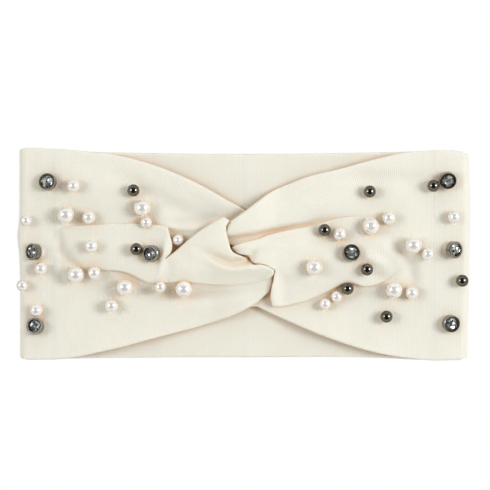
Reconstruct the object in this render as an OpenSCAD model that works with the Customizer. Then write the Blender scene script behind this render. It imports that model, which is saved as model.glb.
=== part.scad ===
// A wide knit headband laid flat: two jersey strips hook round each other in a twist at the front,
// a plain band closes the loop at the back, and riveted pearls, beads and set stones trim the front.
// X runs along the band, Y across it, Z up from the face that the back band rests on.

/* [Band] */
// Length of the loop laid flat, from fold to fold
band_length = 226; // [214:1:240]
// Width of the band at its folds
band_width = 106; // [100:1:112]
// Thickness of one flattened knit tube
cloth = 2; // [1.8:0.1:2.4]
// Free height inside the loop when it lies flat
head_gap = 4.6; // [4.4:0.1:6]

/* [Knot] */
// Distance between the two lines where the loop bends beside the knot and at the back
bend_spacing = 52; // [50:1:54]
// How far the gathered cloth rises towards the knot
gather_rise = 4; // [3:0.5:6]
// Height of one folded layer in the knot
wrap_height = 4.2; // [3.6:0.2:4.6]

/* [Embellishments] */
// Diameter of a large pearl
large_pearl = 8.2; // [7.6:0.1:8.4]
// Diameter of a medium pearl
medium_pearl = 6.4; // [6:0.1:6.6]
// Diameter of a small pearl
small_pearl = 5.6; // [5:0.1:5.8]
// Diameter of a gunmetal bead
metal_bead = 6.2; // [5.6:0.1:6.4]
// Diameter of the metal cup round a stone
cup_diameter = 8.4; // [8:0.1:8.6]
// Diameter of the pin that rivets a bead to the cloth
pin_diameter = 0.9; // [0.8:0.1:1]

/* [Hidden] */

LEFT = -1;
RIGHT = 1;
JERSEY = "antiquewhite";
THREAD = "linen";
PEARL = "ivory";
GUNMETAL = "dimgray";
STONE = "lightsteelblue";
STEEL = "silver";

// Every outline below is drawn on a loop of this length and width, and stretched to the driving ones.
drawn_length = 226;
drawn_width = 106;
stretch_x = band_length / drawn_length;
stretch_y = band_width / drawn_width;

half_length = band_length / 2;
bend_x = bend_spacing / 2;
body_gap = 0.4;
layer_gap = 0.3;
fold_radius = cloth + head_gap / 2;
fold_x = half_length - fold_radius;
under_z = cloth + head_gap;
rear_top = under_z + cloth;
overlap_step = cloth + layer_gap;
ring_span = 80;
seam_x = half_length - 18;
seam_width = 3;
seam_thickness = 1;
back_edge_y = 52 * stretch_y;

pin_below = 1.3;
pin_above = 2;
cap_diameter = 4;
cap_thickness = 0.5;
bead_lift = 0.25;
cup_height = 4.2;

// ---- Shapes of the arms, seen from above. Distance from the knot comes first, then Y on the left. ----
front_low_edge = [[26, -37], [33, -39.3], [44, -42], [56, -45.8], [69, -49.3], [91, -51.8], [113, -53]];
left_front_high_edge = [[26, 3], [38, 3], [44, 12], [53, 13], [60, 14.5], [86, 14], [99, 3.7], [113, 3.7]];
right_front_high_edge = [[26, 23], [36, 20], [43, 15.5], [48, 13.8], [86, 13.8], [99, 3.7], [113, 3.7]];
rear_high_edge = [[26, 36], [41, 41.7], [56, 45.5], [73, 49], [92, 52.3], [113, 53]];
rear_low_edge_y = 4;

// ---- Beads and stones: X, Y, which layer they sit on, and how their axis leans in X and Y. ----
REAR = 0;
FRONT = 1;
left_large = [[-88.8, 19.5, REAR, 0, 0], [-50.7, 23, REAR, 0, 0], [-83.6, -10.2, FRONT, 0, 0],
              [-59.2, -16.3, FRONT, 0, 0], [-29.9, -16.8, FRONT, 0, 0]];
left_medium = [[-85.1, 34, REAR, 0, 0], [-77.4, 18.3, REAR, 0, 0], [-75.8, 3.8, FRONT, 0, 0],
               [-101, -6.1, FRONT, 0, 0], [-74.4, -9.2, FRONT, 0, 0], [-66, -25.7, FRONT, 0, 0],
               [-103.7, -28.1, FRONT, 0, 0]];
left_small = [[-108.7, 16.7, REAR, 0, 0], [-48.8, 15.8, REAR, 0, 0], [-32.9, 6.9, REAR, 0, 0],
              [-109.8, -15.7, FRONT, 0, 0], [-41.5, -16, FRONT, 0, 0]];
left_metal = [[-55.1, 31.7, REAR, 0, 0], [-53.3, 2.3, FRONT, 0, 0]];
left_stones = [[-97.4, 35.4, REAR, -0.2, 0.2], [-103.2, 1, FRONT, -0.45, 0.05],
               [-45.2, 0.5, FRONT, -0.3, -0.1], [-103.6, -36.5, FRONT, -0.2, 0.2]];
right_large = [[63.1, 13.5, FRONT, 0, 0], [84.2, 2.8, FRONT, 0, 0], [34.7, -6, FRONT, 0, 0],
               [74.8, -18, REAR, 0, 0]];
right_medium = [[72.1, 17.8, FRONT, 0, 0], [47.6, 9.4, FRONT, 0, 0], [104.8, 18.5, FRONT, 0, 0],
                [83.7, -19.3, REAR, 0, 0], [91.5, 0, FRONT, 0, 0]];
right_small = [[46.2, -21.2, REAR, 0, 0], [40.5, -24.9, REAR, 0, 0]];
right_metal = [[62.7, 31.1, FRONT, 0, 0], [94.4, 34, FRONT, 0, 0], [40, 11.4, FRONT, 0, 0],
               [61, -7.4, FRONT, 0, 0], [51.6, -17.3, REAR, 0, 0], [108.7, -13.3, REAR, 0, 0],
               [71, -31.2, REAR, 0, 0]];
right_stones = [[101.5, 37.4, FRONT, 0.05, -0.25], [53, 0, FRONT, 0.05, 0.2],
                [103.2, 2.3, FRONT, 0.35, -0.25], [102.5, -34.2, REAR, 0.3, -0.2]];

// ---- The knot, seen from above: the left strip's outlines. The right strip's are turned half round. ----
knot_centre = [0, -2];
lobe_outline = [[-25.6, -14.5], [-10, -15], [1, -13], [7, -9], [-0.9, -2.4], [-6.6, 0], [-11.6, 15],
                [-13.2, 18], [-25.6, 7.5]];
tongue_outline = [[-25.6, -36.5], [-10.5, -32.5], [2.4, -26.5], [9, -22], [19.5, -17], [19.5, -9],
                  [8.4, -5.4], [-1, -5.8], [-9.8, -6.5], [-15, 1.5], [-25.6, 4.3]];
underlay_outline = [[-25.6, -3.5], [0, 0.5], [3, 12], [-1.5, 22], [-9.8, 27], [-25.6, 35]];

// ---- Height of the cloth ----
function ramp(a, b, x) =
    let (t = min(1, max(0, (x - a) / (b - a))))
    t * t * (3 - 2 * t);

// How much the gathers lift the front layer, at a distance u from the knot and a height v up the left side.
function crown(u, v) =
    let (s = min(1, max(0, (u - bend_x) / (fold_x - bend_x))), roll_width = 16)
    gather_rise * pow(1 - s, 1.5) * exp(-pow(v / roll_width, 2));

// Beyond the start of the overlap the band is one flat tube again.
function flat_end(u) = 1 - ramp(fold_x - 10, fold_x - 0.5, u);

function front_bottom(u, v) = under_z + overlap_step * ramp(-8, -1, v) * flat_end(u);

function front_top(u, v) = front_bottom(u, v) + cloth + crown(u, v) * flat_end(u);

function folded(u, z) =
    u <= fold_x ? z : fold_radius + (z - fold_radius) * sqrt(max(0, 1 - pow((u - fold_x) / fold_radius, 2)));

// Height of the cloth's outer face under a bead.
function seat_z(x, y, layer) =
    let (u = abs(x), v = x < 0 ? y : -y)
    folded(u, layer == REAR ? rear_top : front_top(u, v));

function seat_axis(x, y, layer, lean_x, lean_y) =
    let (step = 0.2,
         slope_x = (seat_z(x + step, y, layer) - seat_z(x - step, y, layer)) / (2 * step),
         slope_y = (seat_z(x, y + step, layer) - seat_z(x, y - step, layer)) / (2 * step),
         axis = [lean_x - slope_x, lean_y - slope_y, 1])
    axis / norm(axis);

// ---- Helpers ----
function stretched(points) = [for (p = points) [p[0] * stretch_x, p[1] * stretch_y]];

function edge_y(edge, u) = stretch_y * lookup(u / stretch_x, edge);

module on_side(side) {
    rotate([0, 0, side == LEFT ? 0 : 180]) children();
}

// A pad of gathered cloth over a grid of stations along the arm and points across it, with a flat bottom.
module gathered_pad(high_edge) {
    stations = 24;
    across = 14;
    u_low = bend_x + body_gap / 2;
    grid = [for (i = [0:stations], j = [0:across])
        let (u = u_low + (fold_x - u_low) * i / stations,
             low = edge_y(front_low_edge, u),
             high = edge_y(high_edge, u))
        [-u, low + (high - low) * j / across]];
    row = across + 1;
    count = (stations + 1) * row;
    points = concat([for (p = grid) [p[0], p[1], front_top(-p[0], p[1])]],
                    [for (p = grid) [p[0], p[1], front_bottom(-p[0], p[1])]]);
    top = [for (i = [0:stations - 1], j = [0:across - 1])
        let (a = i * row + j)
        each [[a, a + 1, a + row + 1], [a, a + row + 1, a + row]]];
    bottom = [for (f = top) [f[2] + count, f[1] + count, f[0] + count]];
    rim = concat([for (i = [0:stations]) i * row],
                 [for (j = [1:across]) stations * row + j],
                 [for (i = [stations - 1:-1:0]) i * row + across],
                 [for (j = [across - 1:-1:1]) j]);
    sides = [for (k = [0:len(rim) - 1])
        let (a = rim[k], b = rim[(k + 1) % len(rim)])
        each [[a, b, b + count], [a, b + count, a + count]]];
    polyhedron(points = points, faces = concat(top, bottom, sides), convexity = 4);
}

// Puts a bead's axis on the cloth's outer face, with Z away from the cloth.
module seated(bead) {
    x = bead[0] * stretch_x;
    y = bead[1] * stretch_y;
    axis = seat_axis(x, y, bead[2], bead[3], bead[4]);
    translate([x, y, seat_z(x, y, bead[2])])
        rotate([0, acos(axis[2]), atan2(axis[1], axis[0])])
            children();
}

module drilled_ball(diameter) {
    translate([0, 0, bead_lift + diameter / 2])
        difference() {
            sphere(d = diameter, $fn = 48);
            translate([0, 0, -diameter / 2 - 1])
                cylinder(d = pin_diameter + 0.1, h = pin_above - bead_lift + 1.1, $fn = 24);
        }
}

module balls(beads, diameter) {
    for (bead = beads)
        seated(bead) drilled_ball(diameter);
}

module bead_pin() {
    translate([0, 0, -pin_below])
        cylinder(d = pin_diameter, h = pin_below + pin_above, $fn = 24);
}

module rivet_cap() {
    translate([0, 0, -pin_below - cap_thickness])
        cylinder(d = cap_diameter, h = cap_thickness, $fn = 32);
}

// A turned cup with a rolled rim, a conical seat for the stone, and a post under its floor.
module stone_cup() {
    r = cup_diameter / 2;
    translate([0, 0, bead_lift])
        rotate_extrude($fn = 48)
            polygon([[0, 0], [r - 1, 0], [r, 0.8], [r, 3.9], [r - 0.25, cup_height], [r - 0.9, cup_height],
                     [r - 0.9, 3.95], [r - 0.55, 3.6], [r - 0.55, 3], [0.8, 0.8], [0, 0.8]]);
    translate([0, 0, -pin_below])
        cylinder(d = pin_diameter, h = pin_below + bead_lift + 0.3, $fn = 24);
}

// A faceted stone: pavilion, girdle, crown and table.
module rhinestone() {
    girdle_r = cup_diameter / 2 - 0.7;
    girdle_z = bead_lift + 3.05;
    translate([0, 0, girdle_z - 2]) cylinder(r1 = 0.5, r2 = girdle_r, h = 2, $fn = 12);
    translate([0, 0, girdle_z]) cylinder(r = girdle_r, h = 0.3, $fn = 12);
    translate([0, 0, girdle_z + 0.3]) cylinder(r1 = girdle_r, r2 = girdle_r - 1.6, h = 1.3, $fn = 12);
}

// ---- Back of the loop ----
module back_panel(x_from, x_to) {
    translate([x_from, -back_edge_y, 0]) cube([x_to - x_from, 2 * back_edge_y, cloth]);
}

module back_band_centre() {
    color(JERSEY) back_panel(-bend_x + body_gap / 2, bend_x - body_gap / 2);
}

module back_band_side(side) {
    color(JERSEY) on_side(side) back_panel(-fold_x, -bend_x - body_gap / 2);
}

// A sewn seam allowance, held between the two layers of the band.
module seam(x) {
    color(THREAD)
        translate([x - seam_width / 2, -back_edge_y + 1, (cloth - seam_thickness) / 2])
            cube([seam_width, 2 * back_edge_y - 2, seam_thickness]);
}

module centre_back_seam() { seam(0); }

module side_seam(side) {
    on_side(side) seam(-seam_x);
}

// ---- Front of the loop ----
module side_fold(side) {
    color(JERSEY) on_side(side)
        translate([-fold_x, band_width / 2 - 0.5, fold_radius])
            rotate([90, 0, 0])
                linear_extrude(height = band_width - 1)
                    intersection() {
                        difference() {
                            circle(r = fold_radius, $fn = 64);
                            circle(r = fold_radius - cloth, $fn = 64);
                        }
                        polygon([[0, 0], [0, 3 * fold_radius], [-3 * fold_radius, 3 * fold_radius],
                                 3 * fold_radius * [cos(90 + ring_span), sin(90 + ring_span)]]);
                    }
}

module rear_arm(side) {
    u_low = bend_x + body_gap / 2;
    bends = [for (p = rear_high_edge) if (p[0] * stretch_x > u_low && p[0] * stretch_x < fold_x) p];
    color(JERSEY) on_side(side)
        translate([0, 0, under_z])
            linear_extrude(height = cloth)
                polygon(concat([[-u_low, rear_low_edge_y], [-u_low, edge_y(rear_high_edge, u_low)]],
                               [for (p = bends) [-p[0] * stretch_x, p[1] * stretch_y]],
                               [[-fold_x, edge_y(rear_high_edge, fold_x)], [-fold_x, rear_low_edge_y]]));
}

module left_front_arm() {
    color(JERSEY) gathered_pad(left_front_high_edge);
}

module right_front_arm() {
    color(JERSEY) on_side(RIGHT) gathered_pad(right_front_high_edge);
}

module knot_layer(outline, z, height) {
    translate([0, 0, z]) linear_extrude(height = height) polygon(stretched(outline));
}

module turned_for(side) {
    centre = stretched([knot_centre])[0];
    if (side == LEFT) children();
    else translate(2 * centre) rotate([0, 0, 180]) children();
}

module knot_wrap(side) {
    tongue_z = rear_top + layer_gap;
    lobe_z = tongue_z + wrap_height + layer_gap;
    color(JERSEY) turned_for(side) {
        knot_layer(tongue_outline, tongue_z, wrap_height);
        knot_layer(lobe_outline, lobe_z, wrap_height);
        intersection() {
            knot_layer(tongue_outline, tongue_z, wrap_height + 1);
            knot_layer(lobe_outline, tongue_z, wrap_height + 1);
        }
    }
}

module knot_underlay(side) {
    color(JERSEY) turned_for(side) knot_layer(underlay_outline, under_z, cloth);
}

// ---- Embellishments ----
function all_balls(side) = side == LEFT
    ? concat(left_large, left_medium, left_small, left_metal)
    : concat(right_large, right_medium, right_small, right_metal);

function stones(side) = side == LEFT ? left_stones : right_stones;

module gunmetal_beads(side) {
    color(GUNMETAL) balls(side == LEFT ? left_metal : right_metal, metal_bead);
}

module large_pearls(side) {
    color(PEARL) balls(side == LEFT ? left_large : right_large, large_pearl);
}

module medium_pearls(side) {
    color(PEARL) balls(side == LEFT ? left_medium : right_medium, medium_pearl);
}

module small_pearls(side) {
    color(PEARL) balls(side == LEFT ? left_small : right_small, small_pearl);
}

module stone_cups(side) {
    color(GUNMETAL) for (s = stones(side)) seated(s) stone_cup();
}

module rhinestones(side) {
    color(STONE) for (s = stones(side)) seated(s) rhinestone();
}

module bead_pins(side) {
    color(STEEL) for (b = all_balls(side)) seated(b) bead_pin();
}

module rivet_caps(side) {
    color(STEEL) for (b = concat(all_balls(side), stones(side))) seated(b) rivet_cap();
}

back_band_centre();
centre_back_seam();
back_band_side(LEFT);  // back_band_left
side_seam(LEFT);  // left_side_seam
side_fold(LEFT);  // left_side_fold
rear_arm(LEFT);  // left_rear_arm
left_front_arm();
knot_wrap(LEFT);  // left_knot_wrap
knot_underlay(LEFT);  // left_knot_underlay
large_pearls(LEFT);  // left_large_pearls
medium_pearls(LEFT);  // left_medium_pearls
small_pearls(LEFT);  // left_small_pearls
gunmetal_beads(LEFT);  // left_gunmetal_beads
stone_cups(LEFT);  // left_stone_cups
rhinestones(LEFT);  // left_rhinestones
bead_pins(LEFT);  // left_bead_pins
rivet_caps(LEFT);  // left_rivet_caps
back_band_side(RIGHT);  // back_band_right
side_seam(RIGHT);  // right_side_seam
side_fold(RIGHT);  // right_side_fold
rear_arm(RIGHT);  // right_rear_arm
right_front_arm();
knot_wrap(RIGHT);  // right_knot_wrap
knot_underlay(RIGHT);  // right_knot_underlay
large_pearls(RIGHT);  // right_large_pearls
medium_pearls(RIGHT);  // right_medium_pearls
small_pearls(RIGHT);  // right_small_pearls
gunmetal_beads(RIGHT);  // right_gunmetal_beads
stone_cups(RIGHT);  // right_stone_cups
rhinestones(RIGHT);  // right_rhinestones
bead_pins(RIGHT);  // right_bead_pins
rivet_caps(RIGHT);  // right_rivet_caps
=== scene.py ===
import math
from functools import partial

import bpy
import numpy as np
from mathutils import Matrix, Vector
from mathutils.geometry import delaunay_2d_cdt


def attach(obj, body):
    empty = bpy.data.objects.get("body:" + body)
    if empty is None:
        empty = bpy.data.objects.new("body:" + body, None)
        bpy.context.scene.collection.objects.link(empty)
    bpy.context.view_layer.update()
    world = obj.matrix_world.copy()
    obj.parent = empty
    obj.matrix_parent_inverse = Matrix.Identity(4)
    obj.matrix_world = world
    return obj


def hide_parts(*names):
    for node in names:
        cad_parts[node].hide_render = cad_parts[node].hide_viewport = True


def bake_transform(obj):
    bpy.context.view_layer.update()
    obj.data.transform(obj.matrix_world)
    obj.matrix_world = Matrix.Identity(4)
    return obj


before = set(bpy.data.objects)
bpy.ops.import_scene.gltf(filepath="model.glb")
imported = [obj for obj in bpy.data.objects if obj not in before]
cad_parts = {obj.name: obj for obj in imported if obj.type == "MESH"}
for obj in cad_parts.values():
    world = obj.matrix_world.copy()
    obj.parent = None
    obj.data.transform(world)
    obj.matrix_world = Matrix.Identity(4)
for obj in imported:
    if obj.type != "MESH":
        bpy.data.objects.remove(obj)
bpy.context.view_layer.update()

MM = 0.001
LEFT, RIGHT = -1, 1
SIDES = {LEFT: "left", RIGHT: "right"}

# The loop laid flat, in millimetres
CLOTH = 2.0  # thickness of one sheet
UNDER = 6.6  # underside of the front, above the table
BASE_MID = UNDER + CLOTH / 2
OVERLAP_STEP = 2.3  # how much higher the overlapping layer lies
UPPER_MID = BASE_MID + OVERLAP_STEP
BEND = 26.0  # the hinges beside the knot
FOLD_R = 4.3  # outer radius of the turn at each side
FOLD_X = 108.7  # the middle of that turn
CUT_X = 95.0  # the side seams, and where a strip is cut from its turn
MIDDLE_TOP, MIDDLE_LOW = 50.3, -51.9  # edges of the back band at its middle
GATHER_RISE = 4.0  # how much the gathers lift the cloth beside the knot
GATHER_WIDTH = 16.0
KNOT_RISE = 2.4  # how much higher again the cloth goes over the other strip
EDGE_R = 1.4  # how far in from its edge a sheet is rounded
RINGS = (0.1, 0.28, 0.55, 0.9, 1.4)  # rows of points along each edge, by distance
TOUCH = 1e-3  # points closer than this to a line are on it
SLOPE_STEP = 0.05  # for slopes worked out from two heights
CHUNK = 2000  # points that are measured at a time

rng = np.random.default_rng(11)


# -------------------- small maths
def ramp(a, b, x):
    """From 0 at a to 1 at b, smoothly."""
    t = np.clip((x - a) / (b - a), 0, 1)
    return t * t * (3 - 2 * t)


def pillow(s):
    """Half the thickness of a rolled edge, as a share, at s edge radii from the edge."""
    s = np.clip(s, 0, 1)
    return np.sqrt(np.maximum(0, 1 - (1 - s) ** 2))


def curve(points, step):
    """A smooth line through points, sampled about every step. The last point is left out."""
    p = np.array(points, float)
    q = np.vstack([2 * p[0] - p[1], p, 2 * p[-1] - p[-2]])
    out = []
    for i in range(len(p) - 1):
        a, b, c, d = q[i : i + 4]
        n = max(1, round(np.linalg.norm((c - b)[:2]) / step))
        t = (np.arange(n) / n)[:, None]
        out.append(
            0.5
            * (2 * b + (c - a) * t + (2 * a - 5 * b + 4 * c - d) * t**2 + (3 * b - a - 3 * c + d) * t**3)
        )
    return np.vstack(out)


def as_left(side, x, y):
    """The right strip is the left one turned half round: where its places are on the left one."""
    return -side * x, -side * y


def to_segments(points, starts, ends):
    """Distance from each point to the nearest segment, that segment, and how far along it."""
    best = np.full(len(points), 1e9)
    index = np.zeros(len(points), int)
    along = np.zeros(len(points))
    d = ends - starts
    length2 = np.maximum((d**2).sum(1), 1e-12)
    for k in range(0, len(points), CHUNK):
        p = points[k : k + CHUNK, None, :] - starts[None]
        t = np.clip((p * d[None]).sum(2) / length2, 0, 1)
        r = np.sqrt(((p - t[..., None] * d[None]) ** 2).sum(2))
        i = r.argmin(1)
        rows = np.arange(len(i))
        best[k : k + CHUNK] = r[rows, i]
        index[k : k + CHUNK] = i
        along[k : k + CHUNK] = t[rows, i]
    return best, index, along


def inside(points, outline):
    """Which points lie inside a closed outline."""
    x, y = points[:, 0], points[:, 1]
    hit = np.zeros(len(points), bool)
    for (x1, y1), (x2, y2) in zip(outline, np.roll(outline, -1, axis=0)):
        if y1 == y2:
            continue
        cross = ((y1 > y) != (y2 > y)) & (x < (x2 - x1) * (y - y1) / (y2 - y1) + x1)
        hit ^= cross
    return hit


# -------------------- folds in the cloth
def nearest_on(line, p):
    """For each point, how far it is from a line of (x, y, height), the line's height, and on which side."""
    c = np.array(line, float)
    d, i, t = to_segments(p, c[:-1, :2], c[1:, :2])
    height = c[i, 2] + (c[i + 1, 2] - c[i, 2]) * t
    along = c[i + 1, :2] - c[i, :2]
    away = p - c[i, :2]
    left = np.sign(along[:, 0] * away[:, 1] - along[:, 1] * away[:, 0])
    return d, height, left


def folds(lines, x, y):
    """Ridges and valleys: each line is a width and points (x, y, height)."""
    z = np.zeros(len(x))
    for width, line in lines:
        d, height, _ = nearest_on(line, np.column_stack([x, y]))
        z += height * np.exp(-((d / width) ** 2))
    return z


def lips(lines, x, y):
    """Rolled edges: the cloth rises sharply to the left of each line, and the rise fades over a width."""
    z = np.zeros(len(x))
    for width, line in lines:
        d, height, left = nearest_on(line, np.column_stack([x, y]))
        s = d * left
        z += height * ramp(-0.7, 0.5, s) * np.exp(-((np.maximum(s - 0.5, 0) / width) ** 2))
    return z


# Gentle waves, as their length from crest to trough and their height; three of each run different ways
WAVE_SIZES = ((46, 0.17), (34, 0.15), (25, 0.13), (19, 0.11), (14, 0.095), (10, 0.075))
WAVES = [
    (0.5 / length, rng.uniform(0, math.tau), rng.uniform(0, math.tau), height)
    for length, height in WAVE_SIZES
    for _ in range(3)
]


def ripple(x, y):
    """The cloth is never quite flat."""
    z = np.zeros(len(x))
    for rate, turn, phase, height in WAVES:
        z += height * np.sin(math.tau * rate * (x * math.cos(turn) + 1.4 * y * math.sin(turn)) + phase)
    return z


def crown(u, v):
    """How much the gathers lift the cloth, u from the knot along the arm and v across it."""
    s = np.clip((u - BEND) / (FOLD_X - BEND), 0, 1)
    return GATHER_RISE * (1 - s) ** 1.5 * np.exp(-((v / GATHER_WIDTH) ** 2))


def base_height(side, x, y):
    """Middle of the lower layer of one strip."""
    xl, yl = as_left(side, x, y)
    # near the knot one half of the strip dives under the other strip, and the other half goes over it
    dive = ramp(-26, -10, xl) * ramp(1, 9, yl)
    rise = ramp(-18, -5, xl) * ramp(3, -6, yl)
    z = BASE_MID + crown(-xl, yl) * (1 - dive) + KNOT_RISE * rise
    # folds and waves fade out towards the turn, where the cloth lies a little lower
    free = ramp(FOLD_X, 90, np.abs(x))
    z = z + free * (folds(BASE_FOLDS[side] + BOTH_FOLDS[side], x, y) + lips(BASE_LIPS[side], x, y))
    z = z + 0.8 * free * ripple(x, y) - 0.4 * ramp(99, 112, np.abs(x))
    return settle(side, "base", x, y, z + nudge(side, "base", x, y), CLOTH / 2)


def upper_height(side, x, y):
    """Middle of the layer that lies over the lower one."""
    xl, yl = as_left(side, x, y)
    z = UPPER_MID + crown(-xl, yl) + KNOT_RISE * ramp(-24, -8, xl)
    # past the middle its upper half tucks down beside the other strip
    z = z - 2.6 * ramp(-3, 7, xl) * ramp(-2, 2, yl + 3)
    z = z + folds(UPPER_FOLDS[side] + BOTH_FOLDS[side], x, y) + lips(UPPER_LIPS[side], x, y) + ripple(x, y)
    return z + nudge(side, "upper", x, y)


# Each fold and lip: how wide it is, then its line as x, y and height
BOTH_FOLDS = {
    LEFT: [
        (2.6, [(-94.5, 13, 0), (-93, 9, -2.0), (-91, 2, -2.6), (-88, -3, -2.3), (-83.5, -7.5, -1.2)]),
        (5.0, [(-86, 9, 0), (-84, 2, 0.5), (-80, -3, 0.4)]),
    ],
    RIGHT: [
        (2.9, [(64, 11, 0), (73, 7.5, -1.1), (79.5, 1.5, -2.0), (83, -5.5, -2.2), (84, -12, -1.4),
               (80, -19, 0)]),
        (4.5, [(91, 14, 0), (91, 0, 0.5), (91, -14, 0.3)]),
    ],
}

BASE_FOLDS = {
    LEFT: [
        (4.6, [(-84, 47, -0.2), (-70, 42.5, -0.6), (-59.5, 37, -1.2), (-47.8, 30.3, -1.7),
               (-36.2, 23.7, -2.0), (-24, 18.5, -1.7), (-14, 16, -1.2)]),
        (4.2, [(-60, 47, 0), (-44, 42, 0.3), (-30, 36, 0.5), (-17, 29, 0.7), (-6, 22.5, 0.5)]),
        (3.6, [(-98, -9, -0.4), (-90, -14, -0.9), (-80, -15.5, -0.8), (-70, -13.5, -1.2), (-62, -13.5, -2.0),
               (-53, -17, -2.4), (-45, -19, -2.3), (-32, -19, -2.5), (-18, -18.4, -2.9), (-6, -17.2, -2.8),
               (3, -15.6, -2.0), (9, -13.2, -0.9)]),
        (6.5, [(-60, -30, 0.2), (-40, -28.5, 0.8), (-18, -26, 1.2), (-4, -22, 0.8)]),
        (1.0, [(-39.5, 13.9, 0.3), (-36, 13.1, 0.6), (-31.2, 12.6, 0.7), (-26, 12.9, 0.7),
               (-21.5, 13.8, 0.4)]),
        (1.9, [(-38, 16.6, 0), (-34, 15.8, -1.0), (-28, 15.6, -1.4), (-21, 16.9, -1.4), (-16, 18, -0.8)]),
        (2.6, [(-37, 9.5, -0.4), (-34, 4, -1.0), (-35.5, 0, -0.6)]),
        (6.0, [(-78, 26, 0), (-60, 25, 0.5), (-44, 21, 0.6)]),
        (7.0, [(-66, -44, -0.2), (-45, -38, -0.9), (-25, -33, -1.5), (-9, -28, -1.4)]),
        (2.8, [(-11, 15, -0.8), (-6, 18, -1.5), (-1, 21.5, -1.4), (2, 24, -0.6)]),
    ],
    RIGHT: [
        (3.0, [(-8, 12, 0.5), (-2, 18, 1.2), (6, 24, 1.2), (14, 29, 0.5)]),
        (2.7, [(-7, 6.4, -2.0), (4.8, 8.2, -2.6), (12.6, 10.1, -2.6), (23, 12.2, -2.3), (34.7, 14.5, -1.7),
               (46, 17.4, -0.8), (56, 18.8, 0)]),
        (5.2, [(-3, 16, 0.9), (12, 20, 1.6), (26, 23, 1.7), (40, 25, 1.3), (54, 27, 0.4)]),
        (6.0, [(18, 30, 0), (34, 31, 0.4), (56, 32, 0.2)]),
        (4.0, [(40, 37.5, 0), (50, 38.5, -0.8), (62, 38, -1.5), (76, 37.5, -1.4), (94, 35, -0.4)]),
        (3.0, [(10, 27.5, 0), (22, 33, -0.3), (36, 36.5, -0.3), (50, 39, 0)]),
        (4.0, [(22, -28, -0.4), (40, -25.5, -0.9), (50, -20, -1.2), (60, -19, -1.0), (72, -16, -0.4)]),
        (6.0, [(20, -32, 0.2), (44, -36, 0.6), (66, -38, 0.3)]),
        (3.5, [(66, 20.5, 0), (78, 22, -0.3), (94, 25, 0)]),
    ],
}

UPPER_FOLDS = {
    LEFT: [
        # the crest between the arm and the puff of the knot, and the hollow beside it
        (1.6, [(-37.8, 12, 0.3), (-38.6, 7.5, 0.9), (-40.4, -1.5, 1.2), (-42.7, -12.5, 0.7)]),
        (2.6, [(-45, 8, 0), (-44.5, 3, -0.5), (-46, -3, -0.4), (-47, -9, 0)]),
        (2.6, [(-35.5, -2.5, 0), (-37, -6, -0.8), (-38.5, -11.5, -0.7)]),
        # the puff
        (7.5, [(-31, -1, 0.6), (-23, 5, 2.2), (-14, 13, 1.4)]),
        (5.0, [(-15, 8, 0.5), (-8, 1, 0.6)]),
        # the crease under the puff
        (2.2, [(-26, 3.2, 0), (-20.5, 1.6, -1.3), (-13.5, -1.6, -2.2), (-7, -4.6, -2.7), (-1.5, -4.0, -3.2),
               (2.7, -3.1, -3.6), (5, -3.8, -2.2)]),
        # the roll below it
        (4.6, [(-38, -9.5, 0.3), (-22, -8.5, 1.3), (-9, -10.3, 1.4), (3, -9, 1.2), (12, -9, 0.6)]),
        (2.8, [(-28, -13.5, 0), (-12, -13.6, -0.8), (2, -12.6, -1.4), (11, -10.3, -1.2)]),
        # the arm
        (3.8, [(-86, 7, -0.2), (-72, 7.5, -0.6), (-60, 7.5, -0.7), (-48, 7, -0.3)]),
        (5.5, [(-74, -3, 0.2), (-60, -5, 0.9), (-47, -9, 0.9)]),
        (4.5, [(-84, -3, 0), (-76, -6, -0.5), (-68, -6.5, -0.3)]),
    ],
    RIGHT: [
        (3.0, [(-3, 3.4, 0.7), (5, 5.4, 0.8), (16, 6, 0.6), (30, 7, 0.3)]),
        (2.5, [(-5, 3.6, -0.4), (2, 5.4, -1.0), (12.6, 8.8, -1.4), (24, 11.6, -1.3), (36, 14.2, -1.1),
               (52, 18, -0.3)]),
        (2.3, [(4, 5.2, -0.8), (12, 7.0, -1.6), (20, 7.8, -1.6), (30, 8.5, -0.7)]),
        (4.6, [(18, -9, -1.0), (18.5, -15, -1.6), (19.5, -21, -1.0)]),
        (2.1, [(3.0, -1.9, -2.6), (4.6, 0.4, -2.4), (7, 2.0, -1.4), (12, 2.8, -0.6), (20, 3, 0)]),
        (8.5, [(18, -12, 1.0), (30, -9, 1.5), (46, -4, 1.2), (60, -2, 0.6)]),
        (2.4, [(13, -9, 0.5), (15.0, -16, 1.3), (16, -23, 1.0)]),
        (3.0, [(17.5, -11, -0.6), (21, -13.5, -1.1), (28, -14.5, -1.1), (33, -16.5, -0.3)]),
        (2.0, [(22, -18.5, -0.3), (28, -19.5, -0.6), (34, -19.5, 0)]),
        (3.2, [(36, 9, 0), (43, 6, -0.6), (46, -1, -0.7), (44, -9, 0)]),
        (2.6, [(56, 3, 0), (62, -1, 0.8), (70, -5.5, 1.2), (74, -9.5, 0.7)]),
        (3.0, [(57, -6, 0), (63, -9, -1.1), (69, -12, -0.8)]),
    ],
}

BASE_LIPS = {
    LEFT: [],
    RIGHT: [
        (6.5, [(-10, 8.4, 0.8), (-7.4, 8.9, 1.2), (4.8, 10.4, 1.2), (12.6, 12, 1.1), (26.6, 14.8, 0.9),
               (40, 17.4, 0.7), (52, 19, 0.5), (62, 19.6, 0.2), (68, 19.8, 0)]),
    ],
}
UPPER_LIPS = {
    LEFT: [
        (3.0, [(8, -5.0, 0.6), (2.2, -5.5, 1.5), (-2, -6.0, 1.9), (-6.7, -6.5, 2.0), (-11, -5.3, 1.6),
               (-15.5, -2.7, 1.0), (-21, 0.8, 0)]),
    ],
    RIGHT: [],
}

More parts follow.
